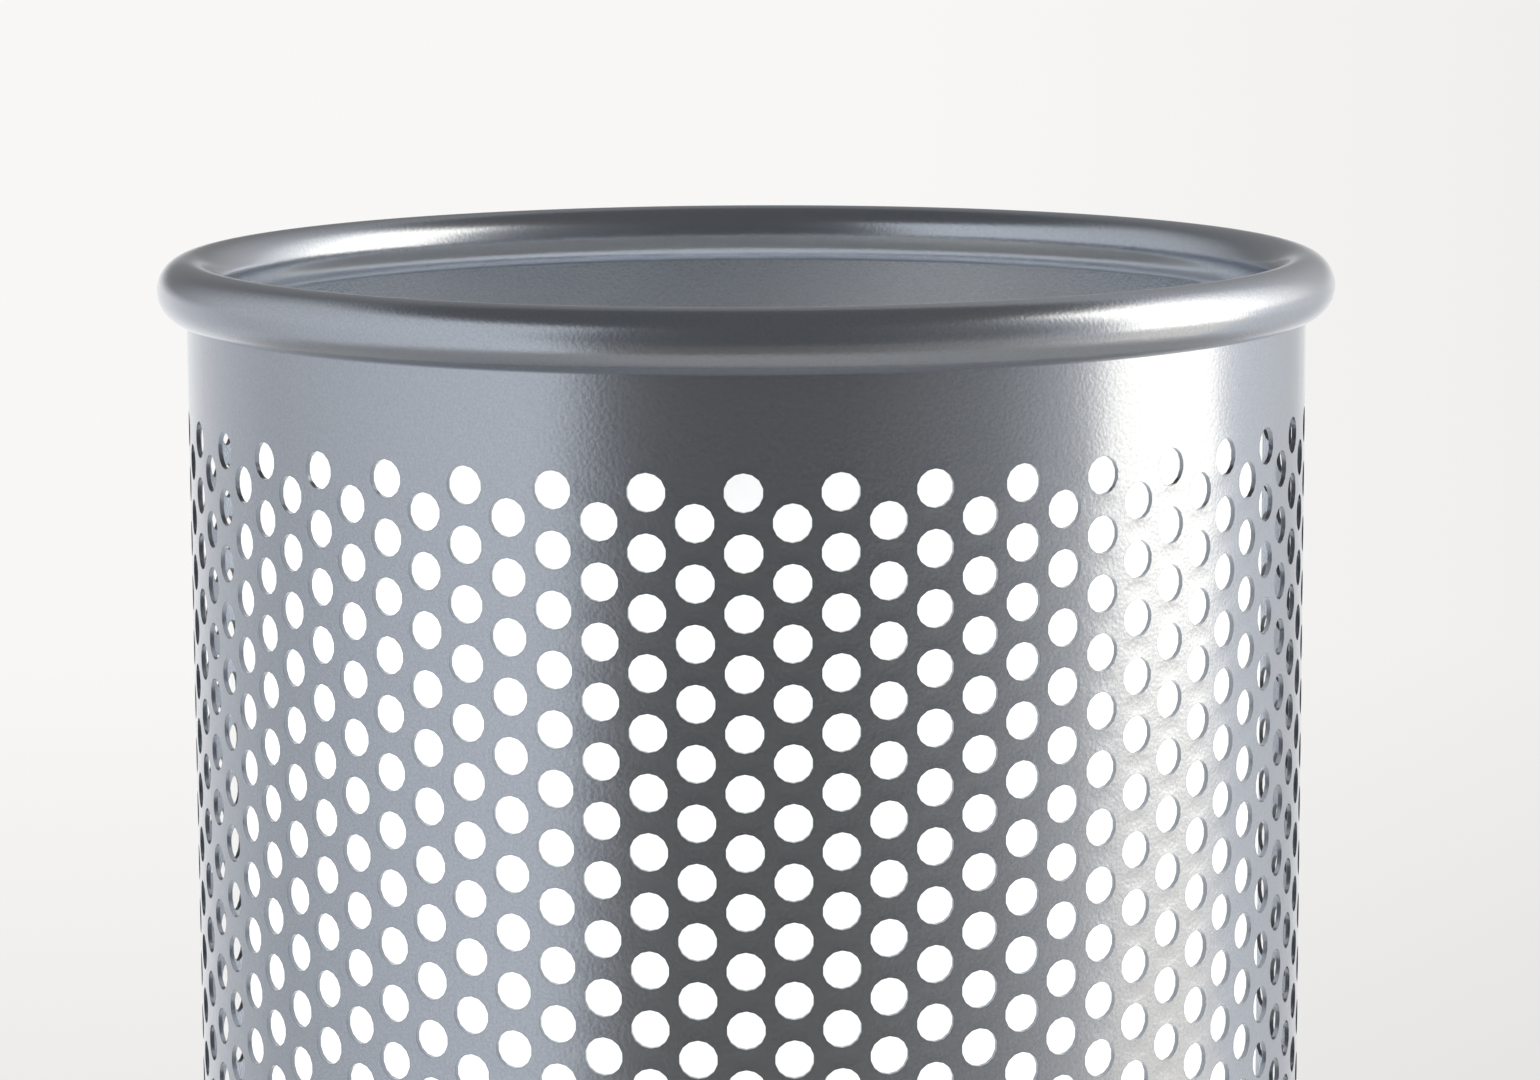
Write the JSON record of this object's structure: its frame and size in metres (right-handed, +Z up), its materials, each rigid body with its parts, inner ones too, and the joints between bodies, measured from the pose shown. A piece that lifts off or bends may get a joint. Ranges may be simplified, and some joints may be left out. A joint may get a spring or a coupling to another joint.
{
  "type": "umbrella stand",
  "caption": "Round umbrella stand of perforated, powder-coated sheet steel with a thick rolled rim bead and a lift-out inner liner.",
  "frame": {"origin": "on the floor, at the centre of the stand", "axes": "+Z up along the cylinder's axis; -Y towards the viewer"},
  "size_m": [0.268, 0.268, 0.5],
  "materials": {
    "coated_steel": "silver-grey metallic powder coat, semi-gloss with a fine orange-peel texture",
    "liner_plastic": "smooth white polypropylene",
    "rubber": "matt black moulded rubber",
    "zinc_plate": "bright zinc plate"
  },
  "bodies": {
    "stand": {"body_shell": "coated_steel", "rim_ring": "coated_steel", "base_pan": "coated_steel", "foot_1": "rubber", "foot_2": "rubber", "foot_3": "rubber", "foot_4": "rubber", "foot_screws": "zinc_plate", "foot_washers": "zinc_plate", "foot_nuts": "zinc_plate"},
    "liner": {"inner_liner": "liner_plastic"}
  },
  "joints": [
    {"name": "liner_lift", "type": "slide", "parent": "stand", "child": "liner", "axis": [0, 0, 1], "range_m": [0, 0.5]}
  ]
}
